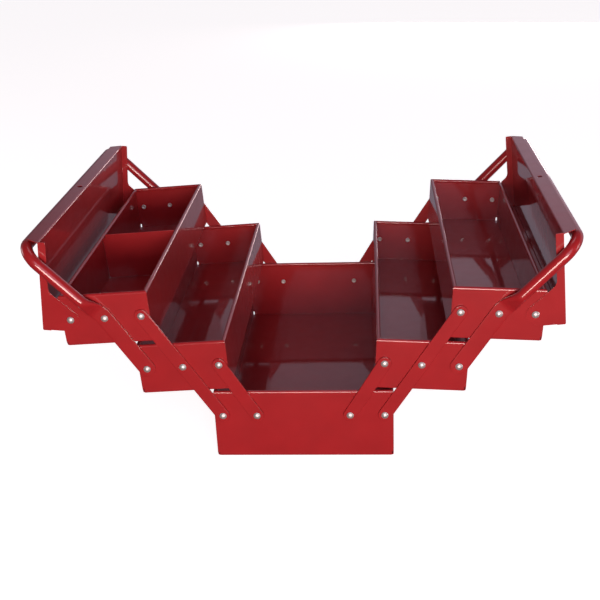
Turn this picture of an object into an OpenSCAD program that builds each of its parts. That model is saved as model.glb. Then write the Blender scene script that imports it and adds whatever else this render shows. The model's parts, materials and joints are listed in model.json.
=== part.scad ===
// Five-compartment cantilever toolbox, standing open: one base box, two middle trays,
// two top trays, two hinged lids, two tubular bail handles, the links that carry the
// trays, and the rivets they turn on. Origin at the centre of the base's underside,
// +X across the box, +Y along it (the front end is at -Y), +Z up.

/* [Boxes] */
// Length of the base and of every tray
box_length = 385; // [250:5:600]
// Width of the base
base_width = 200; // [150:5:300]
// Height of the base
base_height = 83; // [60:1:140]
// Height of every tray
tray_height = 59; // [40:1:90]
// Space between the two middle trays when they are closed
centre_gap = 1; // [0.6:0.1:3]
// How much narrower a top tray is, so that the lid's skirt has room
top_tray_inset = 2; // [0:0.5:5]
// Thickness of the box sheet
sheet = 1; // [0.6:0.1:2]
// Outer radius of the bends along the bottom edges
bend_radius = 2; // [2:0.5:6]
// Diameter of the rolled rim
rim_diameter = 4.5; // [3:0.25:8]

/* [Linkage] */
// Distance between neighbouring pivots on a tray
pivot_spacing = 40; // [25:1:60]
// Height of the base pivots above the floor
base_pivot_height = 53.4; // [30:0.2:80]
// Height of the tray pivots above the tray's underside
tray_pivot_height = 31; // [20:0.5:45]
// Height from one row of pivots to the next
stack_pitch = 62; // [50:1:90]
// Outward slope of the opened trays
sag = 3; // [0:0.5:5]
// Width of the plain links
link_width = 15; // [10:1:25]
// Thickness of the links and of the flattened tube ends
link_thickness = 2; // [1.5:0.1:4]
// Play in the pivot of the short link on the middle tray
loose_pivot_play = 0.4; // [0.35:0.05:0.8]

/* [Handles] */
// Outer diameter of the handle tube
tube_diameter = 12.7; // [10:0.1:20]
// Width of the flattened tube ends
flat_width = 19; // [15:0.5:24]
// Distance from the upper pivot to the middle of the grip bar
handle_reach = 111.7; // [80:0.1:150]
// Bend between the flattened end and the round tube
handle_bend = 10.8; // [0:0.2:25]
// Centre-line radius of the bends at the ends of the grip bar
grip_bend_radius = 22; // [15:1:40]

/* [Lids] */
// Opening angle of a lid against its tray
lid_open_angle = 82; // [60:1:90]
// Thickness of the lid sheet
lid_sheet = 0.8; // [0.6:0.1:1.5]
// Height of the lid's upper face above the lid pivot
lid_rise = 31; // [29:0.1:40]
// Distance the lid reaches outward of its pivot
lid_overhang = 14.2; // [12:0.1:20]
// Depth of the skirt along the outer edge
skirt_depth = 9; // [5:0.5:21]
// Height of the flange along the centre edge
flange_height = 13.5; // [10:0.5:20]
// Length of the slope at each end of the flange
flange_taper = 9; // [2:0.5:20]
// Depth of the narrow strip on the lid's ends
strip_depth = 8.2; // [5:0.2:12]
// Radius of the round tab about the lid pivot
tab_radius = 10; // [8:0.5:13]
// Slope of the cheek between the tab and the strip
cheek_slope = 50.7; // [40:0.1:65]
// Diameter of the padlock hole
padlock_hole_diameter = 6.5; // [5:0.5:10]

/* [Rivets] */
// Diameter of the domed head
rivet_head_diameter = 8; // [6:0.2:12]
// Height of the domed head
rivet_head_height = 2.2; // [1:0.1:4]
// Diameter of the shank
rivet_shank_diameter = 5; // [3:0.1:6]
// Diameter of the tail inside the box
rivet_tail_diameter = 6.4; // [5:0.2:9]
// Thickness of the tail
rivet_tail_height = 1.2; // [0.5:0.1:2]

/* [Hidden] */
clearance = 0.3;
running_fit = 0.05;
seam = 0.05;
overlap = 0.01;
rim_radius = rim_diameter / 2;
tube_radius = tube_diameter / 2;
flat_radius = flat_width / 2;
shank_radius = rivet_shank_diameter / 2;
pivot_hole_radius = shank_radius + running_fit;
half_length = box_length / 2;

mid_width = (base_width - centre_gap) / 2;
top_width = mid_width - top_tray_inset;
edge_margin = (mid_width - 2 * pivot_spacing) / 2;
lid_pivot_spacing = pivot_spacing - top_tray_inset;

link_length = norm([pivot_spacing, stack_pitch]);
lean = atan2(pivot_spacing, stack_pitch);
sag_term = pivot_spacing / link_length * (1 - cos(sag));
base_pivot_spacing = pivot_spacing * (sin(lean) + sin(lean - sag)) / (2 * sin(lean) + sag_term);

outer_base_pivot = [base_width / 2 - edge_margin, base_pivot_height];
inner_base_pivot = outer_base_pivot - [base_pivot_spacing, 0];
mid_pivot = outer_base_pivot + [pivot_spacing, stack_pitch];
top_pivot = mid_pivot + [pivot_spacing, stack_pitch];
sag_direction = [cos(sag), -sin(sag)];
handle_pivot = top_pivot + pivot_spacing * sag_direction;
short_link_reach = mid_pivot - pivot_spacing * sag_direction - inner_base_pivot;
short_link_length = norm(short_link_reach);
short_link_lean = atan2(short_link_reach.x, short_link_reach.y);

base_pivots = [
    -outer_base_pivot.x,
    -inner_base_pivot.x,
    inner_base_pivot.x,
    outer_base_pivot.x
];
mid_pivots = [-pivot_spacing, 0, pivot_spacing];
top_centre = top_width / 2 - edge_margin;
top_link_pivots = [0, pivot_spacing];
lid_pivot = pivot_spacing + lid_pivot_spacing;

layer_start = clearance;
layer_end = layer_start + link_thickness;
lid_layer_end = clearance + lid_sheet;
link_grip = layer_end + clearance;
lid_grip = lid_layer_end + clearance;
tube_gap = lid_layer_end + 2 * clearance;
tube_offset = tube_gap + tube_radius;
flat_end = flat_radius + 1;
tube_start = 3 * flat_end;
transition_slice = 2;
skin = 0.03;

lid_reach = mid_width + centre_gap / 2 - edge_margin - top_tray_inset - 0.4;
lid_half_length = half_length + lid_layer_end;
padlock_hole_height = lid_rise + flange_height / 2;
flange_start = 1;
fillet_radius = 10;
strip_bottom = lid_rise - strip_depth;
tab_tangent = tab_radius * [sin(cheek_slope), -cos(cheek_slope)];
cheek_top_x = tab_tangent.x + (strip_bottom - tab_tangent.y) / tan(cheek_slope);
fillet_centre = [
    cheek_top_x + fillet_radius * tan(cheek_slope / 2),
    strip_bottom - fillet_radius
];
cheek_back_angle = 215;
cheek_back = tab_radius * [cos(cheek_back_angle), sin(cheek_back_angle)];
cheek_back_rise = (tab_radius + lid_overhang * cos(cheek_back_angle)) / sin(cheek_back_angle);

relief_size = [bend_radius, 4, bend_radius];
red = [0.62, 0.08, 0.08];
steel = [0.75, 0.76, 0.78];

front = -1;
rear = 1;
left = -1;
right = 1;

$fn = 48;

// Which piece to draw; "all" draws the whole toolbox

// ---------- placing ----------

// Everything beside the base is drawn on the right and mirrored to the left.
module on_side(side) {
    if (side == left)
        mirror([1, 0, 0])
            children();
    else
        children();
}

// Everything on an end wall is drawn at the rear and mirrored to the front.
module on_end(end) {
    if (end == front)
        mirror([0, 1, 0])
            children();
    else
        children();
}

// Moves the end wall's outer face to the plane y = 0 of what is drawn.
module at_end_face() {
    translate([0, half_length, 0])
        children();
}

// Stands a flat outline upright as a plate between two distances from the end wall.
module upright_plate(from, to) {
    translate([0, to, 0])
        rotate([90, 0, 0])
            linear_extrude(to - from)
                children();
}

// A tray's own frame: its first pivot at the origin, sloping by the sag.
module tray_frame(side, pivot) {
    on_side(side)
        translate([pivot.x, 0, pivot.y])
            rotate([0, sag, 0])
                children();
}

// ---------- boxes ----------

// A quarter of a bent sheet, from straight down to straight left.
module bend_section(radius, thickness) {
    intersection() {
        difference() {
            circle(radius);
            circle(radius - thickness);
        }
        translate([-radius, -radius])
            square(radius);
    }
}

// One half of a box's cross-section: floor, bend, wall and rolled rim.
module half_box_section(width, height) {
    wall = -width / 2;
    translate([wall + bend_radius, 0])
        square([width / 2 - bend_radius, sheet]);
    translate([wall + bend_radius, bend_radius])
        bend_section(bend_radius, sheet);
    translate([wall, bend_radius])
        square([sheet, height - rim_radius - bend_radius]);
    translate([wall + rim_radius, height - rim_radius])
        circle(rim_radius);
}

// The folded floor and long walls, with the corner reliefs left by the folding.
module box_body(width, height) {
    difference() {
        translate([0, half_length, 0])
            rotate([90, 0, 0])
                linear_extrude(box_length) {
                    half_box_section(width, height);
                    mirror([1, 0])
                        half_box_section(width, height);
                }
        for (side = [left, right], end = [front, rear])
            translate([side * width / 2, end * half_length, 0])
                cube(2 * relief_size - [0, relief_size.y, 0], center = true);
    }
}

// The outline of an end wall that fits between the long walls.
module end_outline(width, height) {
    inner_radius = bend_radius - sheet;
    half = width / 2 - sheet - seam;
    for (side = [left, right])
        translate([side * (half - inner_radius), bend_radius])
            circle(inner_radius);
    translate([-half, bend_radius])
        square([2 * half, height - rim_radius - bend_radius]);
    translate([-half + inner_radius, sheet])
        square([2 * (half - inner_radius), bend_radius]);
}

// An end wall with its rolled rim and its rivet holes.
module box_end(width, height, pivots, pivot_height) {
    rim_length = width - 2 * rim_diameter - 2 * seam;
    at_end_face()
        difference() {
            union() {
                intersection() {
                    upright_plate(-sheet, 0)
                        end_outline(width, height);
                    translate([-width / 2, -sheet, sheet + seam])
                        cube([width, sheet, height]);
                }
                translate([-rim_length / 2, -rim_radius, height - rim_radius])
                    rotate([0, 90, 0])
                        cylinder(r = rim_radius, h = rim_length);
            }
            corner_notches(width, height);
            for (x = pivots)
                translate([x, overlap, pivot_height])
                    rotate([90, 0, 0])
                        cylinder(r = pivot_hole_radius, h = sheet + 2 * overlap);
        }
}

// Room for the long walls' rims at the upper corners of an end wall.
module corner_notches(width, height) {
    for (side = [left, right])
        translate([side * (width / 2 - rim_radius), -rim_radius, height - rim_radius])
            cube([rim_diameter + 2 * seam, 2 * rim_diameter, rim_diameter + 2 * seam], center = true);
}

module base_end(end) {
    color(red)
        on_end(end)
            box_end(base_width, base_height, base_pivots, base_pivot_height);
}

module mid_body(side) {
    color(red)
        tray_frame(side, mid_pivot)
            translate([0, 0, -tray_pivot_height])
                box_body(mid_width, tray_height);
}

module mid_end(side, end) {
    color(red)
        tray_frame(side, mid_pivot)
            on_end(end)
                translate([0, 0, -tray_pivot_height])
                    box_end(mid_width, tray_height, mid_pivots, tray_pivot_height);
}

module top_body(side) {
    color(red)
        tray_frame(side, top_pivot)
            translate([top_centre, 0, -tray_pivot_height])
                box_body(top_width, tray_height);
}

module top_end(side, end) {
    pivots = [for (x = [top_link_pivots[0], top_link_pivots[1], lid_pivot]) x - top_centre];
    color(red)
        tray_frame(side, top_pivot)
            on_end(end)
                translate([top_centre, 0, -tray_pivot_height])
                    box_end(top_width, tray_height, pivots, tray_pivot_height);
}

// The cross wall in a top tray, standing on the floor and notched round the rims.
module divider() {
    wide = top_width - 2 * sheet - 2 * seam;
    narrow = top_width - 2 * rim_diameter - 2 * seam;
    shoulder = tray_height - rim_diameter - seam;
    floor_gap = bend_radius;
    color(red)
        tray_frame(left, top_pivot)
            translate([top_centre, -sheet / 2, -tray_pivot_height])
                upright_plate(0, sheet) {
                    translate([-wide / 2, floor_gap])
                        square([wide, shoulder - floor_gap]);
                    translate([-wide / 2 + bend_radius, sheet + seam])
                        square([wide - 2 * bend_radius, floor_gap]);
                    translate([-narrow / 2, floor_gap])
                        square([narrow, tray_height - floor_gap]);
                }
}

// ---------- rivets ----------

// A rivet through the wall at y = 0, its domed head beyond the grip.
module rivet(grip) {
    dome_radius = (pow(rivet_head_diameter / 2, 2) + pow(rivet_head_height, 2)) / (2 * rivet_head_height);
    rotate([-90, 0, 0]) {
        translate([0, 0, -sheet - rivet_tail_height])
            cylinder(d = rivet_tail_diameter, h = rivet_tail_height);
        translate([0, 0, -sheet - rivet_tail_height])
            cylinder(r = shank_radius, h = sheet + rivet_tail_height + grip + overlap);
        intersection() {
            translate([0, 0, grip + rivet_head_height - dome_radius])
                sphere(dome_radius);
            translate([0, 0, grip])
                cylinder(d = rivet_head_diameter, h = rivet_head_height);
        }
    }
}

// Rivets at a row of pivots, on both end walls.
module rivet_rows(pivots, grip) {
    color(steel)
        for (end = [front, rear], x = pivots)
            on_end(end)
                at_end_face()
                    translate([x, 0, 0])
                        rivet(grip);
}

module base_rivets() {
    translate([0, 0, base_pivot_height])
        rivet_rows(base_pivots, link_grip);
}

module mid_rivets(side) {
    tray_frame(side, mid_pivot)
        rivet_rows(mid_pivots, link_grip);
}

module top_rivets(side) {
    tray_frame(side, top_pivot) {
        rivet_rows(top_link_pivots, link_grip);
        rivet_rows([lid_pivot], lid_grip);
    }
}

// ---------- links ----------

// A straight link from the origin upward, leaning outward, with round ends.
module link(from, leaning, holes) {
    top_hole = holes[len(holes) - 1][0];
    translate([from.x, half_length, from.y])
        rotate([0, leaning, 0])
            upright_plate(layer_start, layer_end)
                difference() {
                    union() {
                        circle(link_width / 2);
                        translate([-link_width / 2, 0])
                            square([link_width, top_hole]);
                        translate([0, top_hole])
                            circle(link_width / 2);
                    }
                    for (hole = holes)
                        translate([0, hole[0]])
                            circle(hole[1]);
                }
}

// Carries the middle tray at its middle and the top tray at its end.
module long_link(side, end) {
    holes = [for (n = [0:2]) [n * link_length, pivot_hole_radius]];
    color(red)
        on_side(side)
            on_end(end)
                link(outer_base_pivot, lean, holes);
}

// Keeps the middle tray level; its upper pivot has play.
module short_link(side, end) {
    holes = [
        [0, pivot_hole_radius],
        [short_link_length, shank_radius + loose_pivot_play]
    ];
    color(red)
        on_side(side)
            on_end(end)
                link(inner_base_pivot, short_link_lean, holes);
}

// ---------- handles ----------

// The flattened end of the tube, pivoted on both trays.
module handle_flat() {
    rotate([0, lean, 0])
        upright_plate(layer_start, layer_end)
            difference() {
                union() {
                    translate([0, -link_length])
                        circle(flat_radius);
                    translate([-flat_radius, -link_length])
                        square([flat_width, link_length + flat_end]);
                }
                for (height = [-link_length, 0])
                    translate([0, height])
                        circle(pivot_hole_radius);
            }
}

// Where the flattened end swells into the round tube; it starts inside both of them.
module handle_transition() {
    hull() {
        rotate([0, lean, 0])
            translate([-flat_radius + skin, layer_start + skin, flat_end - transition_slice])
                cube([flat_width - 2 * skin, link_thickness - 2 * skin, transition_slice - skin]);
        rotate([0, lean + handle_bend, 0])
            translate([0, tube_offset, tube_start + skin])
                cylinder(r = tube_radius - skin, h = transition_slice, $fn = 32);
    }
}

// The round leg and the bend towards the grip bar.
module handle_leg() {
    rotate([0, lean + handle_bend, 0])
        translate([0, tube_offset, 0]) {
            translate([0, 0, tube_start])
                cylinder(r = tube_radius, h = handle_reach - grip_bend_radius - tube_start);
            translate([0, -grip_bend_radius, handle_reach - grip_bend_radius])
                rotate([90, 0, 90])
                    rotate_extrude(angle = 90)
                        translate([grip_bend_radius, 0])
                            circle(tube_radius);
        }
}

module grip_bar() {
    grip_length = 2 * (half_length + tube_offset - grip_bend_radius);
    rotate([0, lean + handle_bend, 0])
        translate([0, grip_length / 2, handle_reach])
            rotate([90, 0, 0])
                cylinder(r = tube_radius, h = grip_length);
}

module handle(side) {
    color(red)
        on_side(side)
            translate([handle_pivot.x, 0, handle_pivot.y]) {
                grip_bar();
                for (end = [front, rear])
                    on_end(end)
                        at_end_face() {
                            handle_flat();
                            handle_transition();
                            handle_leg();
                        }
            }
}

// ---------- lids ----------

// A lid's own frame: its pivot at the origin, +X inward, turned to the open angle.
module lid_frame(side) {
    tray_frame(side, top_pivot)
        translate([lid_pivot, 0, 0])
            rotate([0, lid_open_angle, 0])
                mirror([1, 0, 0])
                    children();
}

// The lid's cross-section: panel, flange at the centre edge, skirt at the outer edge.
module lid_section() {
    translate([-lid_overhang, lid_rise - lid_sheet])
        square([lid_reach + lid_overhang, lid_sheet]);
    translate([lid_reach - lid_sheet, lid_rise - lid_sheet])
        square([lid_sheet, flange_height + lid_sheet]);
    translate([-lid_overhang, lid_rise - skirt_depth])
        square([lid_sheet, skirt_depth]);
}

// The corner that is cut off each end of the flange.
module flange_taper_cut() {
    beyond = lid_half_length + seam;
    above = flange_height + seam;
    translate([lid_reach - 2 * lid_sheet, 0, lid_rise])
        rotate([90, 0, 90])
            linear_extrude(3 * lid_sheet)
                polygon([
                    [beyond, flange_start],
                    [beyond, above],
                    [lid_half_length - flange_taper, above]
                ]);
}

// The lid's end: a narrow strip, a sloping cheek and the tab round the pivot.
module lid_end_outline() {
    fillet = [
        for (step = [0:6])
            let (turn = 90 + cheek_slope * step / 6)
                fillet_centre + fillet_radius * [cos(turn), sin(turn)]
    ];
    polygon(concat(
        [
            [-lid_overhang, lid_rise],
            [lid_reach, lid_rise],
            [lid_reach, strip_bottom]
        ],
        fillet,
        [
            tab_tangent,
            [0, 0],
            cheek_back,
            [-lid_overhang, cheek_back_rise]
        ]
    ));
    circle(tab_radius);
}

module lid_end() {
    at_end_face()
        upright_plate(layer_start, lid_layer_end)
            difference() {
                lid_end_outline();
                circle(pivot_hole_radius);
            }
}

module lid(side) {
    color(red)
        lid_frame(side) {
            difference() {
                translate([0, lid_half_length, 0])
                    rotate([90, 0, 0])
                        linear_extrude(2 * lid_half_length)
                            lid_section();
                translate([lid_reach, 0, padlock_hole_height])
                    rotate([0, 90, 0])
                        cylinder(d = padlock_hole_diameter, h = 4 * lid_sheet, center = true);
                for (end = [front, rear])
                    on_end(end)
                        flange_taper_cut();
            }
            for (end = [front, rear])
                on_end(end)
                    lid_end();
        }
}

// ---------- nodes ----------

color(red) box_body(base_width, base_height);  // base_body
base_end(front);  // base_end_front
base_end(rear);  // base_end_rear
base_rivets();
mid_body(left);  // mid_left_body
mid_end(left, front);  // mid_left_end_front
mid_end(left, rear);  // mid_left_end_rear
mid_rivets(left);  // mid_left_rivets
mid_body(right);  // mid_right_body
mid_end(right, front);  // mid_right_end_front
mid_end(right, rear);  // mid_right_end_rear
mid_rivets(right);  // mid_right_rivets
top_body(left);  // top_left_body
top_end(left, front);  // top_left_end_front
top_end(left, rear);  // top_left_end_rear
top_rivets(left);  // top_left_rivets
top_body(right);  // top_right_body
top_end(right, front);  // top_right_end_front
top_end(right, rear);  // top_right_end_rear
top_rivets(right);  // top_right_rivets
divider();  // top_left_divider
long_link(left, front);  // long_link_left_front
long_link(left, rear);  // long_link_left_rear
long_link(right, front);  // long_link_right_front
long_link(right, rear);  // long_link_right_rear
short_link(left, front);  // short_link_left_front
short_link(left, rear);  // short_link_left_rear
short_link(right, front);  // short_link_right_front
short_link(right, rear);  // short_link_right_rear
handle(left);  // handle_left
handle(right);  // handle_right
lid(left);  // lid_left
lid(right);  // lid_right
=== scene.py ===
"""A red enamelled cantilever toolbox, standing open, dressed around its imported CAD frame.

Every sheet-metal piece, link, handle and rivet is rebuilt here as a finer mesh in the place
that the frame gives, and rides on the CAD body that it stands for. Lengths are in metres.
What occurs on both sides or at both ends is shaped once, on the right and at the rear.
"""

import json
import math
from collections import namedtuple

import bmesh
import bpy
from mathutils import Matrix, Vector


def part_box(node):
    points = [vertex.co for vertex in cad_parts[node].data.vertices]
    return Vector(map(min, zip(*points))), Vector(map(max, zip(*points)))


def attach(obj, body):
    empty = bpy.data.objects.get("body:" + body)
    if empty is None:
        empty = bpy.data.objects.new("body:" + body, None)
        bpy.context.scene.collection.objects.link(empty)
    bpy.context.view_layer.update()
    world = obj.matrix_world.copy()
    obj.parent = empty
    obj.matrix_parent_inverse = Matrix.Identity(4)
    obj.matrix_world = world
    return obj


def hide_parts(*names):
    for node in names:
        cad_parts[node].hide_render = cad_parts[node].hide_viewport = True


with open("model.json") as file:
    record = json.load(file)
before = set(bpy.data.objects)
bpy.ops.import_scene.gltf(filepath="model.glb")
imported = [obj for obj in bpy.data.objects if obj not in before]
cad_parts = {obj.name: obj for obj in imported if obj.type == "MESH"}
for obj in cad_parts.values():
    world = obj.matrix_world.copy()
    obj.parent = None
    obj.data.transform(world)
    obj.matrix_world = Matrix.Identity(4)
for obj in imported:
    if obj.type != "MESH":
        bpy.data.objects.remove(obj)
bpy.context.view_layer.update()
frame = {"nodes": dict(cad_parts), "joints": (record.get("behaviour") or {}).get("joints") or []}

MM = 0.001
LEFT, RIGHT = -1, 1
FRONT, REAR = -1, 1
SIDE_NAMES = {LEFT: "left", RIGHT: "right"}
END_NAMES = {FRONT: "front", REAR: "rear"}
OUTWARD = Vector((0, 1, 0))

# ---------- sizes read from the frame ----------

joints = {joint["name"]: joint for joint in frame["joints"]}


def pivot(joint_name):
    """A joint's place at rest, on the right-hand side."""
    x, _, z = joints["right_" + joint_name]["pos_m"]
    return Vector((x, 0, z))


BASE_OUTER = pivot("fold")
BASE_INNER = pivot("short_link_pivot")
MID = pivot("mid_tray_pivot")
TOP = pivot("top_tray_pivot")
HANDLE = pivot("handle_pivot")
LID = pivot("lid_hinge")

# The trays hang a little outward when the box stands open, and the links lean with them.
SAG = math.atan2(TOP.z - LID.z, LID.x - TOP.x)
LINK_LEAN = math.atan2(MID.x - BASE_OUTER.x, MID.z - BASE_OUTER.z)
LINK_LENGTH = (MID - BASE_OUTER).length
PIVOT_SPACING = (HANDLE - TOP).length
LID_SPACING = (LID - TOP).length
LID_OPEN = math.radians(joints["right_lid_hinge"]["range_deg"][1])


def side_matrix(side):
    """Mirrors what is built on the right to the given side."""
    return Matrix.Diagonal((side, 1, 1, 1))


def end_matrix(end):
    """Mirrors what is built at the rear to the given end."""
    return Matrix.Diagonal((1, end, 1, 1))


def turned(place, angle):
    """A frame at a place, leaning outward by an angle."""
    return Matrix.Translation(place) @ Matrix.Rotation(angle, 4, "Y")


BASE_FRAME = Matrix.Translation((0, 0, BASE_OUTER.z))
MID_FRAME = turned(MID, SAG)
TOP_FRAME = turned(TOP, SAG)


def local_box(node, matrix):
    """A CAD node's lowest and highest corners in a frame of its own."""
    back = matrix.inverted()
    points = [back @ vertex.co for vertex in frame["nodes"][node].data.vertices]
    low = Vector([min(point[axis] for point in points) for axis in range(3)])
    high = Vector([max(point[axis] for point in points) for axis in range(3)])
    return low, high


HALF_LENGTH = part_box("base_body")[1].y
LINK_IN, LINK_OUT = (corner.y - HALF_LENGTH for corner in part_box("long_link_right_rear"))
LINK_THICKNESS = LINK_OUT - LINK_IN

# ---------- sizes of the sheet-metal work ----------

CAD_SHEET = 1.0 * MM        # sheet of the CAD boxes, which the rivets clamp
DRAWN_SHEET = 0.8 * MM      # sheet as drawn in walls, rims and lids
RIM_RADIUS = 2.25 * MM      # outside of the curled rims
CURL_TURN = 285             # degrees that a rim curls round
CURL_STEPS = 22
BEND_RADIUS = 1.2 * MM      # outside of the bend between a floor and a wall
BEND_LEG = 0.5 * MM         # straight strip on either side of an end wall's bend
CORNER_STEPS = 6
SEAM = 0.12 * MM            # gap between two edges that meet
LET_IN = 0.3 * MM           # how far one sheet reaches into another, so that no light leaks
RELIEF_WIDTH = 1.3 * MM     # open slot at each lower corner of a box
RELIEF_HEIGHT = 5 * MM
WALL_CORNER = 0.4 * MM
WALL_EDGE = 0.05 * MM       # rounding of an end wall's edges
HOLE_RADIUS = 2.55 * MM
HOLE_STEPS = 24
PIVOT_PLAY = 0.4 * MM       # extra radius of the short link's upper hole

# Shading: bends up to SMOOTH_ANGLE are smooth, but a face WIDE_RATIO times wider than
# its neighbour stays flat up to any edge sharper than FLAT_ANGLE.
SMOOTH_ANGLE = math.radians(35)
FLAT_ANGLE = math.radians(4)
COPLANAR_ANGLE = math.radians(0.5)
WIDE_RATIO = 15
MERGE_DISTANCE = 0.001 * MM
TIP = 0.3                   # the last ring of a closing end stops this part of a step short of it

# ---------- mesh helpers ----------


def spaced(start, end, steps):
    """Evenly spaced values from start to end."""
    return [start + (end - start) * step / steps for step in range(steps + 1)]


def arc(centre, radius, start, end, steps):
    """Points of an arc; the angles are in degrees, from the first axis to the second."""
    points = []
    for degrees in spaced(start, end, steps):
        angle = math.radians(degrees)
        points.append(Vector((centre[0] + radius * math.cos(angle), centre[1] + radius * math.sin(angle))))
    return points


def rounded(points, radii, steps=5, closed=False):
    """The path through the points with every corner rounded to its radius."""
    path = []
    count = len(points)
    for index, radius in enumerate(radii):
        corner = Vector(points[index])
        if radius <= 0 or (not closed and index in (0, count - 1)):
            path.append(corner)
            continue
        before = (Vector(points[index - 1]) - corner).normalized()
        after = (Vector(points[(index + 1) % count]) - corner).normalized()
        half = before.angle(after) / 2
        reach = radius / math.tan(half)
        centre = corner + (before + after).normalized() * (radius / math.sin(half))
        first = corner + before * reach - centre
        last = corner + after * reach - centre
        sweep = first.angle_signed(last)
        for step in range(steps + 1):
            turn = Matrix.Rotation(-sweep * step / steps, 2)
            path.append(centre + turn @ first)
    return path


def thickened(path, thickness):
    """A closed outline: the path, and the same path moved to its left."""
    sharpest = 0.3
    moved = []
    for index, point in enumerate(path):
        before = path[max(index - 1, 0)]
        after = path[min(index + 1, len(path) - 1)]
        along_in = (point - before).normalized() if index else (after - point).normalized()
        along_out = (after - point).normalized() if index < len(path) - 1 else along_in
        along = (along_in + along_out).normalized()
        normal = Vector((-along.y, along.x))
        moved.append(point + normal * (thickness / max(along.dot(along_out), sharpest)))
    return path + moved[::-1]


def saved(mesh, name):
    """A mesh that objects can use, made from an editing mesh, which is freed."""
    data = bpy.data.meshes.new(name)
    mesh.to_mesh(data)
    mesh.free()
    return data


def bridge(mesh, first, second):
    """Faces between two closed rings of vertices."""
    count = len(first)
    for index in range(count):
        following = (index + 1) % count
        mesh.faces.new((first[index], first[following], second[following], second[index]))


def swept(outline, half_length_at, name):
    """A solid with this closed outline in x and z, running along y to where half_length_at says."""
    mesh = bmesh.new()
    rings = []
    for end in (FRONT, REAR):
        ring = [mesh.verts.new((point.x, end * half_length_at(point), point.y)) for point in outline]
        rings.append(ring)
    bridge(mesh, *rings)
    mesh.faces.new(rings[0])
    mesh.faces.new(rings[1][::-1])
    bmesh.ops.recalc_face_normals(mesh, faces=mesh.faces)
    bmesh.ops.triangulate(mesh, faces=[face for face in mesh.faces if len(face.verts) > 4])
    return saved(mesh, name)


def across_end(outline, half_width_at, name):
    """A swept solid turned to run across the rear end; its outline is in y and z."""
    data = swept(outline, half_width_at, name)
    data.transform(Matrix(((0, 1, 0, 0), (1, 0, 0, 0), (0, 0, 1, 0), (0, 0, 0, 1))))
    data.flip_normals()
    return data


def plate(outline, holes, start, end, edge, name):
    """A flat plate in x and z between two distances along y, with rounded edges and round holes."""
    curve = bpy.data.curves.new(name, "CURVE")
    curve.dimensions = "2D"
    curve.fill_mode = "BOTH"
    curve.extrude = (end - start) / 2 - edge
    curve.bevel_depth = edge
    curve.bevel_resolution = 2
    curve.offset = -edge
    hole_end = -360 * (HOLE_STEPS - 1) / HOLE_STEPS
    loops = [outline] + [arc(centre, radius, 0, hole_end, HOLE_STEPS - 1) for centre, radius in holes]
    for loop in loops:
        spline = curve.splines.new("POLY")
        spline.points.add(len(loop) - 1)
        for point, place in zip(spline.points, loop):
            point.co = (place[0], place[1], 0, 1)
        spline.use_cyclic_u = True
    holder = bpy.data.objects.new(name, curve)
    bpy.context.scene.collection.objects.link(holder)
    data = evaluated_mesh(holder)
    bpy.data.objects.remove(holder)
    bpy.data.curves.remove(curve)
    upright = Matrix.Rotation(math.radians(90), 4, "X")
    data.transform(Matrix.Translation((0, (start + end) / 2, 0)) @ upright)
    mesh = bmesh.new()
    mesh.from_mesh(data)
    bmesh.ops.remove_doubles(mesh, verts=mesh.verts, dist=MERGE_DISTANCE)
    bmesh.ops.recalc_face_normals(mesh, faces=mesh.faces)
    return saved(mesh, name)


def evaluated_mesh(holder):
    """The mesh of an object with its modifiers or curve settings applied."""
    bpy.context.view_layer.update()
    return bpy.data.meshes.new_from_object(holder.evaluated_get(bpy.context.evaluated_depsgraph_get()))


def lofted(rings, name):
    """A closed skin through rings of points, capped at both ends."""
    mesh = bmesh.new()
    levels = [[mesh.verts.new(point) for point in ring] for ring in rings]
    for lower, upper in zip(levels, levels[1:]):
        bridge(mesh, lower, upper)
    mesh.faces.new(levels[0][::-1])
    mesh.faces.new(levels[-1])
    bmesh.ops.recalc_face_normals(mesh, faces=mesh.faces)
    return saved(mesh, name)


def turned_profile(profile, steps, name):
    """A solid of revolution about y; the profile is (radius, distance along y), end to end."""
    turns = [2 * math.pi * step / steps for step in range(steps)]
    rings = []
    for radius, along in profile:
        rings.append([Vector((radius * math.cos(turn), along, radius * math.sin(turn))) for turn in turns])
    return lofted(rings, name)


def flat_areas(mesh):
    """For each face, the area of the flat region that it belongs to."""
    areas = {}
    for seed in mesh.faces:
        if seed in areas:
            continue
        region = {seed}
        waiting = [seed]
        while waiting:
            for edge in waiting.pop().edges:
                for face in edge.link_faces:
                    if face not in region and edge.calc_face_angle(math.pi) < COPLANAR_ANGLE:
                        region.add(face)
                        waiting.append(face)
        total = sum(face.calc_area() for face in region)
        areas.update((face, total) for face in region)
    return areas


def shade(mesh):
    """Smooth shading over bends and tubes that keeps wide flat faces flat up to their edges."""
    areas = flat_areas(mesh)
    for face in mesh.faces:
        face.smooth = True
    for edge in mesh.edges:
        angle = edge.calc_face_angle(math.pi)
        sizes = sorted(areas[face] for face in edge.link_faces)
        beside_flat = angle > FLAT_ANGLE and sizes[-1] > WIDE_RATIO * sizes[0]
        edge.smooth = angle < SMOOTH_ANGLE and not beside_flat


def joined(parts, name):
    """One mesh from several (mesh, matrix) pairs; mirrored ones are turned right side out."""
    mesh = bmesh.new()
    for data, matrix in parts:
        piece = bmesh.new()
        piece.from_mesh(data)
        piece.transform(matrix)
        if matrix.determinant() < 0:
            bmesh.ops.reverse_faces(piece, faces=piece.faces)
        moved = saved(piece, "moved")
        mesh.from_mesh(moved)
        bpy.data.meshes.remove(moved)
    shade(mesh)
    return saved(mesh, name)


def add_piece(name, parts, body, node, material):
    """Makes one piece of several parts that rides on a body and stands for a CAD node."""
    data = joined(parts, name)
    data.materials.append(material)
    piece = bpy.data.objects.new(name, data)
    bpy.context.scene.collection.objects.link(piece)
    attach(piece, body)
    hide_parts(node)


# ---------- shader helpers ----------


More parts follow.
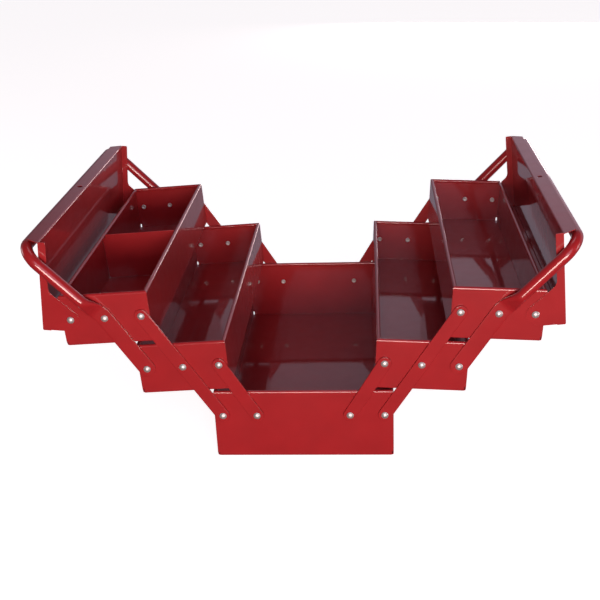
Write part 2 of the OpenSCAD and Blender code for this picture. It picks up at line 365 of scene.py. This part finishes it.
def new_material(name):
    """An empty Principled material, with its nodes and links."""
    material = bpy.data.materials.new(name)
    material.use_nodes = True
    return material, material.node_tree.nodes, material.node_tree.links


def noise(nodes, links, coordinates, scale, detail, roughness=0.5):
    """A noise texture on object coordinates; the scale is in features per metre."""
    texture = nodes.new("ShaderNodeTexNoise")
    texture.inputs["Scale"].default_value = scale
    texture.inputs["Detail"].default_value = detail
    texture.inputs["Roughness"].default_value = roughness
    links.new(coordinates, texture.inputs["Vector"])
    return texture.outputs["Fac"]


def ramp(nodes, links, value, low, high, low_colour, high_colour):
    """Maps a value between two limits to two colours."""
    node = nodes.new("ShaderNodeValToRGB")
    node.color_ramp.elements[0].position = low
    node.color_ramp.elements[0].color = (*low_colour, 1)
    node.color_ramp.elements[1].position = high
    node.color_ramp.elements[1].color = (*high_colour, 1)
    links.new(value, node.inputs["Fac"])
    return node.outputs["Color"]


def spread(nodes, links, value, low, high):
    """Maps a value from 0..1 to a range."""
    node = nodes.new("ShaderNodeMapRange")
    node.inputs["To Min"].default_value = low
    node.inputs["To Max"].default_value = high
    links.new(value, node.inputs["Value"])
    return node.outputs["Result"]


def fade(nodes, links, value, start, end, low, high):
    """Maps a value smoothly from one range to another, held at both ends."""
    node = nodes.new("ShaderNodeMapRange")
    node.interpolation_type = "SMOOTHSTEP"
    node.inputs["From Min"].default_value = start
    node.inputs["From Max"].default_value = end
    node.inputs["To Min"].default_value = low
    node.inputs["To Max"].default_value = high
    links.new(value, node.inputs["Value"])
    return node.outputs["Result"]


def bump(nodes, links, height, strength, distance, normal=None):
    """A bumped normal, laid over another one if there is one."""
    node = nodes.new("ShaderNodeBump")
    node.inputs["Strength"].default_value = strength
    node.inputs["Distance"].default_value = distance
    links.new(height, node.inputs["Height"])
    if normal:
        links.new(normal, node.inputs["Normal"])
    return node.outputs["Normal"]


def product(nodes, links, first, second):
    """Two values multiplied."""
    node = nodes.new("ShaderNodeMath")
    node.operation = "MULTIPLY"
    links.new(first, node.inputs[0])
    links.new(second, node.inputs[1])
    return node.outputs[0]


def mixer(nodes, links, data_type, factor):
    """A node that goes from its A to its B as the factor goes from 0 to 1."""
    node = nodes.new("ShaderNodeMix")
    node.data_type = data_type
    links.new(factor, node.inputs["Factor"])
    return node


# ---------- materials ----------

RED = (0.43, 0.015, 0.019)
# Paler red along the edges: partly rubbed paint, partly a painted highlight of the edges' glints.
RUBBED_AND_HIGHLIT_RED = (0.55, 0.12, 0.11)
DEEP_SHARE = 0.90           # brightness of the darker mottling
WEAR_AND_HIGHLIGHT_REACH = 0.9 * MM       # how far from an edge the paint is rubbed and paled, partly as a painted highlight
DULL_PLATE = (0.72, 0.70, 0.67)
BRIGHT_PLATE = (0.90, 0.88, 0.86)


def worn_and_highlit_edges(nodes, links, coordinates, paint):
    """Paint rubbed thin and paler along the edges, in broken patches; the paler edges are partly real wear
    and partly a painted highlight standing in for the glint on rounded edges.
    """
    bevel = nodes.new("ShaderNodeBevel")
    bevel.samples = 4
    bevel.inputs["Radius"].default_value = WEAR_AND_HIGHLIGHT_REACH
    turn = nodes.new("ShaderNodeVectorMath")
    turn.operation = "DOT_PRODUCT"
    links.new(bevel.outputs["Normal"], turn.inputs[0])
    links.new(nodes.new("ShaderNodeNewGeometry").outputs["Normal"], turn.inputs[1])
    edge = fade(nodes, links, turn.outputs["Value"], start=0.80, end=0.98, low=1.0, high=0.0)
    patches = noise(nodes, links, coordinates, scale=260, detail=5, roughness=0.65)
    broken = fade(nodes, links, patches, start=0.42, end=0.62, low=0.0, high=0.45)
    rubbed_and_highlit = mixer(nodes, links, "RGBA", product(nodes, links, edge, broken))
    links.new(paint, rubbed_and_highlit.inputs["A"])
    rubbed_and_highlit.inputs["B"].default_value = (*RUBBED_AND_HIGHLIT_RED, 1)
    return rubbed_and_highlit.outputs["Result"]


def enamel(name):
    """Glossy red stove enamel: a mirror-like skin with orange peel over slightly uneven, hazy paint."""
    material, nodes, links = new_material(name)
    shader = nodes["Principled BSDF"]
    coordinates = nodes.new("ShaderNodeTexCoord").outputs["Object"]
    mottling = noise(nodes, links, coordinates, scale=38, detail=4)
    deep_red = tuple(DEEP_SHARE * part for part in RED)
    paint = ramp(nodes, links, mottling, 0.3, 0.7, deep_red, RED)
    # The base colour carries paler edges, partly rubbed paint and partly a painted highlight.
    links.new(worn_and_highlit_edges(nodes, links, coordinates, paint), shader.inputs["Base Color"])
    haze = noise(nodes, links, coordinates, scale=60, detail=6, roughness=0.6)
    links.new(spread(nodes, links, haze, low=0.35, high=0.55), shader.inputs["Roughness"])
    waviness = noise(nodes, links, coordinates, scale=22, detail=2)
    peel = noise(nodes, links, coordinates, scale=900, detail=2)
    uneven = bump(nodes, links, waviness, strength=0.25, distance=0.5 * MM)
    skin = bump(nodes, links, peel, strength=0.10, distance=0.1 * MM, normal=uneven)
    links.new(skin, shader.inputs["Normal"])
    links.new(skin, shader.inputs["Coat Normal"])
    shader.inputs["Specular IOR Level"].default_value = 0.25
    shader.inputs["Coat Weight"].default_value = 1.0
    shader.inputs["Coat Roughness"].default_value = 0.045
    shader.inputs["Coat IOR"].default_value = 1.5
    return material


def plated(name):
    """Bright plate on the rivets, with a slightly uneven, handled surface."""
    material, nodes, links = new_material(name)
    shader = nodes["Principled BSDF"]
    coordinates = nodes.new("ShaderNodeTexCoord").outputs["Object"]
    stain = noise(nodes, links, coordinates, scale=500, detail=4)
    metal = ramp(nodes, links, stain, 0.3, 0.7, DULL_PLATE, BRIGHT_PLATE)
    links.new(metal, shader.inputs["Base Color"])
    links.new(spread(nodes, links, stain, low=0.42, high=0.56), shader.inputs["Roughness"])
    dents = noise(nodes, links, coordinates, scale=700, detail=2)
    links.new(bump(nodes, links, dents, strength=0.15, distance=0.2 * MM), shader.inputs["Normal"])
    shader.inputs["Metallic"].default_value = 0.8
    return material


# One enamel for each kind of part, so that each can be recoloured on its own.
box_enamel = enamel("box_enamel")
link_enamel = enamel("link_enamel")
handle_enamel = enamel("handle_enamel")
lid_enamel = enamel("lid_enamel")
rivet_plate = plated("rivet_plate")

# ---------- boxes ----------


def curl(centre):
    """The path of a rolled rim, from its outermost point round to its free edge."""
    return arc(centre, RIM_RADIUS, 0, CURL_TURN, CURL_STEPS)


def mitre(inward):
    """How much shorter a rim is where it lies this far inside its box, for a mitred corner."""
    return min(inward, 2 * RIM_RADIUS) + SEAM


def curled_wall(half_width, height):
    """The right half of a box's outer path, from the middle of the floor to the end of the rim's curl."""
    corner = [(0, 0), (half_width, 0), (half_width, RELIEF_HEIGHT), (half_width, height - RIM_RADIUS)]
    wall = rounded(corner, [0, BEND_RADIUS, 0, 0])
    return wall + curl((half_width - RIM_RADIUS, height - RIM_RADIUS))[1:]


def box_body(low, high):
    """The floor and long walls of a box: open at the lower corners, with mitred rims."""
    half_width = (high.x - low.x) / 2
    half = curled_wall(half_width, high.z - low.z)
    path = [Vector((-point.x, point.y)) for point in half[:0:-1]] + half[1:]
    outline = thickened(path, DRAWN_SHEET)

    def half_length_at(point):
        """Shorter at the foot, to leave room for the end walls' bends, and mitred at the rims."""
        if point.y < RELIEF_HEIGHT - DRAWN_SHEET:
            return HALF_LENGTH - BEND_RADIUS - BEND_LEG
        return HALF_LENGTH - mitre(half_width - abs(point.x))

    data = swept(outline, half_length_at, "box_body")
    data.transform(Matrix.Translation(((low.x + high.x) / 2, 0, low.z)))
    return data


def box_end(low, high, pivots):
    """An end wall folded up from the floor: the bend, a plate with rivet holes, and a curled rim."""
    half_width = (high.x - low.x) / 2
    middle = (low.x + high.x) / 2
    inner = half_width - DRAWN_SHEET + LET_IN
    slot = half_width - DRAWN_SHEET - RELIEF_WIDTH
    bottom = BEND_RADIUS + BEND_LEG
    top = high.z - low.z - RIM_RADIUS
    right_half = [(slot, bottom), (slot, RELIEF_HEIGHT), (inner, RELIEF_HEIGHT), (inner, top)]
    left_half = [(-x, z) for x, z in right_half[::-1]]
    radii = [0, 0, WALL_CORNER, 0, 0, WALL_CORNER, 0, 0]
    outline = rounded(left_half + right_half, radii, closed=True)
    holes = [((x - middle, -low.z), HOLE_RADIUS) for x in pivots]
    wall = plate(outline, holes, HALF_LENGTH - DRAWN_SHEET, HALF_LENGTH, WALL_EDGE, "end_wall")

    bend_path = [Vector((HALF_LENGTH - bottom, 0))]
    bend_path += arc((HALF_LENGTH - BEND_RADIUS, BEND_RADIUS), BEND_RADIUS, -90, 0, CORNER_STEPS)
    bend_path += [Vector((HALF_LENGTH, bottom))]
    bend = across_end(thickened(bend_path, DRAWN_SHEET), lambda point: slot, "end_bend")

    def rim_half_width(point):
        """Mitred, to meet the rims of the long walls."""
        return half_width - mitre(HALF_LENGTH - point.x)

    rim_path = curl((HALF_LENGTH - RIM_RADIUS, top))
    rim = across_end(thickened(rim_path, DRAWN_SHEET), rim_half_width, "end_rim")
    place = Matrix.Translation((middle, 0, low.z))
    return [(wall, place), (rim, place), (bend, place)]


def add_box(prefix, body, side, place, pivots):
    """A box's body and its two end walls."""
    node = prefix + "_body"
    to_row = side_matrix(side) @ place
    low, high = local_box(node, to_row)
    add_piece(node + "_sheet", [(box_body(low, high), to_row)], body, node, box_enamel)
    for end, end_name in END_NAMES.items():
        parts = [(data, to_row @ end_matrix(end) @ matrix) for data, matrix in box_end(low, high, pivots)]
        node = f"{prefix}_end_{end_name}"
        add_piece(node + "_sheet", parts, body, node, box_enamel)


# ---------- rivets ----------

SHANK_RADIUS = 2.5 * MM
HEAD_RADIUS = 4.0 * MM
HEAD_HEIGHT = 2.2 * MM
HEAD_EDGE = 0.15 * MM
TAIL_RADIUS = 3.2 * MM
TAIL_HEIGHT = 1.2 * MM
HEAD_GAP = 0.3 * MM         # clearance under a head
RIVET_STEPS = 28
DOME_STEPS = 8


def rivet(grip):
    """A rivet along y: a formed tail inside the wall at y = 0, a shank, and a domed head past the grip."""
    tail = -CAD_SHEET - TAIL_HEIGHT
    dished_tail = [
        (0.2 * MM, tail + 0.5 * MM),
        (1.2 * MM, tail + 0.4 * MM),
        (1.9 * MM, tail),
        (2.5 * MM, tail),
        (3.0 * MM, tail + 0.3 * MM),
        (TAIL_RADIUS, tail + 0.8 * MM),
        (TAIL_RADIUS, -CAD_SHEET),
    ]
    shank = [
        (SHANK_RADIUS, -CAD_SHEET),
        (SHANK_RADIUS, grip),
    ]
    head = [
        (HEAD_RADIUS - HEAD_EDGE, grip),
        (HEAD_RADIUS, grip + HEAD_EDGE),
    ]
    ball = (HEAD_RADIUS ** 2 + HEAD_HEIGHT ** 2) / (2 * HEAD_HEIGHT)
    reach = math.asin(HEAD_RADIUS / ball)
    for step in range(1, DOME_STEPS + 1):
        angle = reach * (1 - step / (DOME_STEPS + TIP))
        head.append((ball * math.sin(angle), grip + HEAD_HEIGHT - ball * (1 - math.cos(angle))))
    return turned_profile(dished_tail + shank + head, RIVET_STEPS, "rivet")


def add_rivets(prefix, body, side, place, row):
    """All rivets of a box: a row of (distance from the frame's origin, grip) on both end walls."""
    parts = []
    for distance, grip in row:
        for end in (FRONT, REAR):
            spot = Matrix.Translation((distance, HALF_LENGTH, 0))
            parts.append((rivet(grip), side_matrix(side) @ place @ end_matrix(end) @ spot))
    add_piece(prefix + "_rivets_plated", parts, body, prefix + "_rivets", rivet_plate)


# ---------- links ----------

LINK_WIDTH = 15 * MM
LINK_EDGE = 0.6 * MM
EYE_STEPS = 16


def link(length, holes):
    """A flat link from the origin upward, with round ends and rounded edges."""
    radius = LINK_WIDTH / 2
    outline = arc((0, 0), radius, 180, 360, EYE_STEPS) + arc((0, length), radius, 0, 180, EYE_STEPS)
    start = HALF_LENGTH + LINK_IN
    return plate(outline, holes, start, start + LINK_THICKNESS, LINK_EDGE, "link")


def add_link(kind, side, end, start, stop, holes):
    """A long or short link between two pivots."""
    reach = stop - start
    lean = math.atan2(reach.x, reach.z)
    place = side_matrix(side) @ end_matrix(end) @ turned(start, lean)
    node = f"{kind}_link_{SIDE_NAMES[side]}_{END_NAMES[end]}"
    body = f"{SIDE_NAMES[side]}_{kind}_links"
    add_piece(node + "_bar", [(link(reach.length, holes), place)], body, node, link_enamel)


def add_links(side, end):
    """The long and the short link at one corner of the box."""
    long_holes = [((0, n * LINK_LENGTH), HOLE_RADIUS) for n in range(3)]
    add_link("long", side, end, BASE_OUTER, TOP, long_holes)
    inner_mid = MID_FRAME @ Vector((-PIVOT_SPACING, 0, 0))
    upper = (0, (inner_mid - BASE_INNER).length)
    short_holes = [((0, 0), HOLE_RADIUS), (upper, HOLE_RADIUS + PIVOT_PLAY)]
    add_link("short", side, end, BASE_INNER, inner_mid, short_holes)


# ---------- handles ----------

TUBE_RADIUS = 6.35 * MM
FLAT_RADIUS = 9.5 * MM      # half the width of the flattened end
GRIP_BEND = 22 * MM         # bend from a leg into the grip bar
FLAT_END = FLAT_RADIUS + 1 * MM
SWELL_START = 0.8 * FLAT_END
TUBE_START = 3 * FLAT_END
STRAIGHT_END = 4 * MM
SWELL_END = TUBE_START + 2 * MM
ROUND = 2                   # exponents of the section's superellipse
SQUARE = 8
SECTION_POINTS = 40
END_STEPS = 10
STRAIGHT_STEPS = 6
SWELL_STEPS = 24
GRIP_STEPS = 14

handle_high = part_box("handle_right")[1]
TUBE_OFFSET = handle_high.y - HALF_LENGTH - TUBE_RADIUS
LEG = Vector((handle_high.x - TUBE_RADIUS, 0, handle_high.z - TUBE_RADIUS)) - HANDLE
LEG_LEAN = math.atan2(LEG.x, LEG.z)
LEG_TOP = LEG.length - GRIP_BEND

Station = namedtuple("Station", "centre across through half_width half_depth power")


def section(station):
    """A ring of points round a tube's centre; its power says how square it is."""
    ring = []
    exponent = 2 / station.power
    for step in range(SECTION_POINTS):
        angle = 2 * math.pi * step / SECTION_POINTS
        cosine, sine = math.cos(angle), math.sin(angle)
        x = station.half_width * math.copysign(abs(cosine) ** exponent, cosine)
        y = station.half_depth * math.copysign(abs(sine) ** exponent, sine)
        ring.append(station.centre + station.across * x + station.through * y)
    return ring


def smooth(value):
    """A smooth step from 0 to 1."""
    value = min(max(value, 0), 1)
    return value * value * (3 - 2 * value)


def between(low, high, share):
    """The value that lies a share of the way from low to high."""
    return low + (high - low) * share


def directions(lean):
    """The directions along a leaning bar and across it."""
    along = Vector((math.sin(lean), 0, math.cos(lean)))
    across = Vector((math.cos(lean), 0, -math.sin(lean)))
    return along, across


def leg_station(distance):
    """The handle's section at a distance above its upper pivot: flat below, a tube above."""
    along, across = directions(between(LINK_LEAN, LEG_LEAN, smooth(distance / FLAT_END)))
    swell = smooth((distance - SWELL_START) / (TUBE_START - SWELL_START))
    centre = HANDLE + along * distance
    centre.y = HALF_LENGTH + between((LINK_IN + LINK_OUT) / 2, TUBE_OFFSET, swell)
    half_width = between(FLAT_RADIUS, TUBE_RADIUS, swell)
    half_depth = between(LINK_THICKNESS / 2, TUBE_RADIUS, swell)
    power = between(ROUND, SQUARE, (1 - swell) ** 2)
    return Station(centre, across, OUTWARD, half_width, half_depth, power)


def leg_stations():
    """A leg from its round lower end, past both pivots, to where the grip's bend starts."""
    stations = []
    for step in range(END_STEPS):
        angle = math.pi / 2 * (step + TIP) / END_STEPS
        station = leg_station(-LINK_LENGTH - FLAT_RADIUS * math.cos(angle))
        stations.append(station._replace(half_width=FLAT_RADIUS * math.sin(angle)))
    straight = spaced(-LINK_LENGTH, STRAIGHT_END, STRAIGHT_STEPS)
    swelling = spaced(STRAIGHT_END, SWELL_END, SWELL_STEPS)[1:]
    return stations + [leg_station(distance) for distance in straight + swelling + [LEG_TOP]]


def bend_stations():
    """The quarter bend from a leg into the grip bar."""
    along, across = directions(LEG_LEAN)
    corner = HANDLE + along * LEG_TOP
    corner.y = HALF_LENGTH + TUBE_OFFSET - GRIP_BEND
    stations = []
    for step in range(1, GRIP_STEPS + 1):
        angle = math.pi / 2 * step / GRIP_STEPS
        outward = OUTWARD * math.cos(angle) + along * math.sin(angle)
        centre = corner + outward * GRIP_BEND
        stations.append(Station(centre, across, outward, TUBE_RADIUS, TUBE_RADIUS, ROUND))
    return stations


def add_handle(side):
    """A bail handle: one tube, its ends flattened to links, bent into a grip bar."""
    node = "handle_" + SIDE_NAMES[side]
    rear_half = [section(station) for station in leg_stations() + bend_stations()]
    front_half = [[Vector((point.x, -point.y, point.z)) for point in ring] for ring in rear_half[::-1]]
    data = lofted(rear_half + front_half, node)
    add_piece(node + "_tube", [(data, side_matrix(side))], SIDE_NAMES[side] + "_handle", node, handle_enamel)


# ---------- lids ----------

FLANGE_HEIGHT = 13.5 * MM
FLANGE_BEND = 1.8 * MM
FLANGE_CHAMFER = 9 * MM     # how much shorter the flange is at its free edge, at each end
CHAMFER_START = 1 * MM
PADLOCK_RADIUS = 3.25 * MM
PADLOCK_STEPS = 32
DRILL_REACH = 20 * MM
SKIRT_DEPTH = 9 * MM
SKIRT_BEND = 0.8 * MM
STRIP_DEPTH = 8.2 * MM      # narrow part of a cheek
STRIP_CORNER = 1.5 * MM
CHEEK_SLOPE = math.radians(50.7)
CHEEK_CORNER = 10 * MM
CHEEK_EDGE = 0.15 * MM
TAB_RADIUS = 10 * MM        # round tab about the hinge rivet
TAB_END = 215               # degrees round the tab to where its back starts
TAB_STEPS = 14


def lid_section_path(overhang, reach, rise):
    """The lid's sheet from the skirt's lower edge, under the panel, to the flange's free edge."""
    under = rise - DRAWN_SHEET
    corners = [
        (-overhang + DRAWN_SHEET, rise - SKIRT_DEPTH),
        (-overhang + DRAWN_SHEET, under),
        (reach, under),
        (reach, rise + FLANGE_HEIGHT),
    ]
    return rounded(corners, [0, SKIRT_BEND, FLANGE_BEND, 0])


def cheek_outline(overhang, reach, rise):
    """The lid's end, let into the folded sheet: a narrow strip, a slope and a round tab."""
    strip = rise - STRIP_DEPTH
    under = rise - DRAWN_SHEET + LET_IN
    behind = -overhang + DRAWN_SHEET - LET_IN
    tangent = Vector((math.sin(CHEEK_SLOPE), -math.cos(CHEEK_SLOPE))) * TAB_RADIUS
    meeting = tangent.x + (strip - tangent.y) / math.tan(CHEEK_SLOPE)
    corners = [(reach, under), (reach, strip), (meeting, strip), tuple(tangent)]
    slope = rounded(corners, [0, STRIP_CORNER, CHEEK_CORNER, 0])
    tab = arc((0, 0), TAB_RADIUS, math.degrees(CHEEK_SLOPE) - 90, TAB_END - 360, TAB_STEPS)
    tab_end = math.radians(TAB_END)
    back_rise = (TAB_RADIUS - behind * math.cos(tab_end)) / math.sin(tab_end)
    back = [Vector((behind, back_rise)), Vector((behind, under))]
    return (slope + tab[1:] + back)[::-1]


def lid_sheet(overhang, reach, rise, half_length):
    """The lid's folded sheet: skirt, panel, and a flange with chamfered ends and a padlock hole."""

    def half_length_at(point):
        """Shorter towards the flange's free edge."""
        climb = max(point.y - rise - CHAMFER_START, 0) / FLANGE_HEIGHT
        return half_length - FLANGE_CHAMFER * climb

    path = lid_section_path(overhang, reach, rise)
    sheet = swept(thickened(path, DRAWN_SHEET), half_length_at, "lid_sheet")
    cut_hole(sheet, Vector((reach, 0, rise + FLANGE_HEIGHT / 2)), PADLOCK_RADIUS)
    return sheet


def add_lid(side):
    """A lid: its folded sheet and two end cheeks. The lid's own x runs from its hinge to its flange."""
    node = "lid_" + SIDE_NAMES[side]
    opened = turned(LID, SAG + LID_OPEN) @ Matrix.Diagonal((-1, 1, 1, 1))
    low, high = local_box("lid_right", opened)
    overhang, reach = -low.x, high.x
    rise = high.z - FLANGE_HEIGHT
    sheet = lid_sheet(overhang, reach, rise, high.y)
    face = high.y - SEAM
    hinge_hole = ((0, 0), HOLE_RADIUS)
    cheek_path = cheek_outline(overhang, reach, rise)
    cheek = plate(cheek_path, [hinge_hole], face - DRAWN_SHEET, face, CHEEK_EDGE, "cheek")
    place = side_matrix(side) @ opened
    parts = [(sheet, place)] + [(cheek, place @ end_matrix(end)) for end in (FRONT, REAR)]
    add_piece(node + "_sheet", parts, SIDE_NAMES[side] + "_lid", node, lid_enamel)


def cut_hole(data, centre, radius):
    """Cuts a round hole along x through a mesh."""
    target = bpy.data.objects.new("target", data)
    drill_profile = [(radius, -DRILL_REACH), (radius, DRILL_REACH)]
    drill_mesh = turned_profile(drill_profile, PADLOCK_STEPS, "drill")
    drill_mesh.transform(Matrix.Translation(centre) @ Matrix.Rotation(math.radians(90), 4, "Z"))
    drill = bpy.data.objects.new("drill", drill_mesh)
    for helper in (target, drill):
        bpy.context.scene.collection.objects.link(helper)
    cutter = target.modifiers.new("cut", "BOOLEAN")
    cutter.object = drill
    cutter.solver = "EXACT"
    mesh = bmesh.new()
    mesh.from_mesh(evaluated_mesh(target))
    mesh.to_mesh(data)
    mesh.free()
    for helper in (target, drill):
        bpy.data.objects.remove(helper)


# ---------- divider ----------

DIVIDER_CORNER = 3 * MM
DIVIDER_LIP = 1 * MM
DIVIDER_EDGE = 0.3 * MM


def add_divider():
    """The cross wall of the left top tray, notched round the tray's rims."""
    node = "top_left_divider"
    to_row = side_matrix(LEFT) @ TOP_FRAME
    low, high = local_box(node, to_row)
    rim = 2 * RIM_RADIUS
    shoulder = high.z - rim - 2 * SEAM
    left, right = low.x + SEAM, high.x - SEAM
    left_notch, right_notch = left + rim - CAD_SHEET, right - rim + CAD_SHEET
    corners = [
        (left, low.z),
        (right, low.z),
        (right, shoulder),
        (right_notch, shoulder),
        (right_notch, high.z),
        (left_notch, high.z),
        (left_notch, shoulder),
        (left, shoulder),
    ]
    radii = [DIVIDER_CORNER, DIVIDER_CORNER, 0, 0, DIVIDER_LIP, DIVIDER_LIP, 0, 0]
    wall = plate(rounded(corners, radii, closed=True), [], low.y, high.y, DIVIDER_EDGE, node)
    add_piece(node + "_sheet", [(wall, to_row)], "left_top_tray", node, box_enamel)


# ---------- assembly ----------

LINK_GRIP = LINK_OUT + HEAD_GAP
LID_GRIP = LINK_IN + DRAWN_SHEET + HEAD_GAP


def add_row(prefix, body, side, place, row):
    """A box with its rivets; the row is (distance from the frame's origin, grip) of each rivet."""
    add_box(prefix, body, side, place, [distance for distance, _ in row])
    add_rivets(prefix, body, side, place, row)


def add_side(side, side_name):
    """Everything that unfolds on one side of the base."""
    mid_row = [(x, LINK_GRIP) for x in (-PIVOT_SPACING, 0, PIVOT_SPACING)]
    top_row = [(0, LINK_GRIP), (PIVOT_SPACING, LINK_GRIP), (LID_SPACING, LID_GRIP)]
    add_row("mid_" + side_name, side_name + "_mid_tray", side, MID_FRAME, mid_row)
    add_row("top_" + side_name, side_name + "_top_tray", side, TOP_FRAME, top_row)
    for end in (FRONT, REAR):
        add_links(side, end)
    add_handle(side)
    add_lid(side)


base_row = [(x, LINK_GRIP) for x in (-BASE_OUTER.x, -BASE_INNER.x, BASE_INNER.x, BASE_OUTER.x)]
add_row("base", "base", RIGHT, BASE_FRAME, base_row)
for side, side_name in SIDE_NAMES.items():
    add_side(side, side_name)
add_divider()

# ---------- floor, light and camera ----------

WHITE = (1, 0.985, 0.99)
WARM = (1, 0.80, 0.72)
ROSE = (1, 0.80, 0.80)
PALE_ROSE = (1, 0.85, 0.85)
VIOLET = (0.94, 0.87, 1.1)
PALE_VIOLET = (0.96, 0.92, 1.05)
BACKDROP_COLOUR = (1.12, 0.90, 1.10)
BACKDROP_STRENGTH = 0.46
OVERHEAD_STRENGTH = 0.05
ROOM_STRENGTH = 0.04
MIDDLE = (0, 0, 0.1)        # what most of the lamps aim at
FLOOR_DROP = 0.4 * MM       # keeps the floor clear of the underside of the base


def add_floor():
    """A plain white floor, lit from within like a light table, that keeps only a faint shadow."""
    mesh = bmesh.new()
    bmesh.ops.create_grid(mesh, x_segments=1, y_segments=1, size=6)
    data = saved(mesh, "floor")
    material, nodes, _ = new_material("floor_paper")
    shader = nodes["Principled BSDF"]
    shader.inputs["Base Color"].default_value = (0.9, 0.9, 0.9, 1)
    shader.inputs["Roughness"].default_value = 1.0
    shader.inputs["Specular IOR Level"].default_value = 0.0
    shader.inputs["Emission Color"].default_value = (*WHITE, 1)
    shader.inputs["Emission Strength"].default_value = 0.86
    data.materials.append(material)
    floor = bpy.data.objects.new("floor", data)
    floor.location.z = -FLOOR_DROP
    floor.visible_glossy = False
    floor.visible_diffuse = False
    bpy.context.scene.collection.objects.link(floor)


def backdrop(nodes, links):
    """The strength of the light from each direction: a bright wall behind, low and to the right."""
    parts = nodes.new("ShaderNodeSeparateXYZ")
    links.new(nodes.new("ShaderNodeTexCoord").outputs["Generated"], parts.inputs[0])
    behind = fade(nodes, links, parts.outputs["Y"], start=-0.1, end=0.45, low=0.0, high=1.0)
    right = fade(nodes, links, parts.outputs["X"], start=-0.32, end=-0.14, low=0.25, high=1.0)
    above_floor = fade(nodes, links, parts.outputs["Z"], start=-0.12, end=0.0, low=0.35, high=1.0)
    height = fade(nodes, links, parts.outputs["Z"], start=0.40, end=0.68,
                  low=BACKDROP_STRENGTH, high=OVERHEAD_STRENGTH)
    wall = product(nodes, links, product(nodes, links, behind, right), above_floor)
    strength = nodes.new("ShaderNodeMath")
    strength.operation = "MULTIPLY_ADD"
    links.new(wall, strength.inputs[0])
    links.new(height, strength.inputs[1])
    strength.inputs[2].default_value = ROOM_STRENGTH
    return strength.outputs[0]


def add_world():
    """A dim studio with a bright backdrop behind the object; the camera itself sees plain white."""
    world = bpy.data.worlds.new("studio")
    bpy.context.scene.world = world
    world.use_nodes = True
    nodes, links = world.node_tree.nodes, world.node_tree.links
    background = nodes["Background"]
    seen = nodes.new("ShaderNodeLightPath").outputs["Is Camera Ray"]
    strength = mixer(nodes, links, "FLOAT", seen)
    links.new(backdrop(nodes, links), strength.inputs["A"])
    strength.inputs["B"].default_value = 1.0
    links.new(strength.outputs["Result"], background.inputs["Strength"])
    colour = mixer(nodes, links, "RGBA", seen)
    colour.inputs["A"].default_value = (*BACKDROP_COLOUR, 1)
    colour.inputs["B"].default_value = (*WHITE, 1)
    links.new(colour.outputs["Result"], background.inputs["Color"])


def add_area(name, place, aim, size, power, colour):
    """A rectangular lamp, aimed at a point."""
    data = bpy.data.lights.new(name, "AREA")
    data.shape = "RECTANGLE"
    data.size, data.size_y = size
    data.energy = power
    data.color = colour
    light = bpy.data.objects.new(name, data)
    light.location = place
    light.rotation_mode = "QUATERNION"
    light.rotation_quaternion = (Vector(aim) - Vector(place)).to_track_quat("-Z", "Y")
    bpy.context.scene.collection.objects.link(light)


def add_lamps():
    """A warm low key in front, weak fills in front and above, and weak lamps behind and beside."""
    add_area("key", place=(0.2, -3.0, 0.30), aim=(0, -0.1, 0.12), size=(1.6, 0.9), power=80, colour=WARM)
    add_area("front_fill", place=(0.30, -1.6, 0.85), aim=MIDDLE, size=(1.1, 0.9), power=5.8, colour=VIOLET)
    add_area("overhead", place=(0, 0.1, 1.4), aim=MIDDLE, size=(0.5, 0.5), power=0.9, colour=PALE_VIOLET)
    add_area("rear", place=(0.7, 3.0, 0.12), aim=(0, 0, 0.12), size=(1.2, 0.24), power=9, colour=ROSE)
    add_area("side_right", place=(2.0, -0.5, 0.3), aim=MIDDLE, size=(0.8, 0.6), power=6, colour=PALE_ROSE)
    add_area("side_left", place=(-2.0, 0.3, 0.3), aim=MIDDLE, size=(0.8, 0.6), power=4, colour=PALE_ROSE)


def add_camera(place, yaw, pitch, roll, lens, sensor):
    """A camera that looks along +y, turned left, tipped down and rolled by angles in degrees."""
    data = bpy.data.cameras.new("camera")
    data.sensor_width = sensor
    data.lens = lens
    data.clip_start, data.clip_end = 0.05, 50
    camera = bpy.data.objects.new("camera", data)
    camera.matrix_world = (
        Matrix.Translation(place)
        @ Matrix.Rotation(math.radians(yaw), 4, "Z")
        @ Matrix.Rotation(math.radians(90 - pitch), 4, "X")
        @ Matrix.Rotation(math.radians(-roll), 4, "Z")
    )
    bpy.context.scene.collection.objects.link(camera)
    bpy.context.scene.camera = camera


add_floor()
add_world()
add_lamps()
add_camera(place=(0.0765, -1.135, 0.6104), yaw=4.536, pitch=23.814, roll=2.585, lens=58.65, sensor=36)
bpy.context.scene.view_settings.view_transform = "Standard"
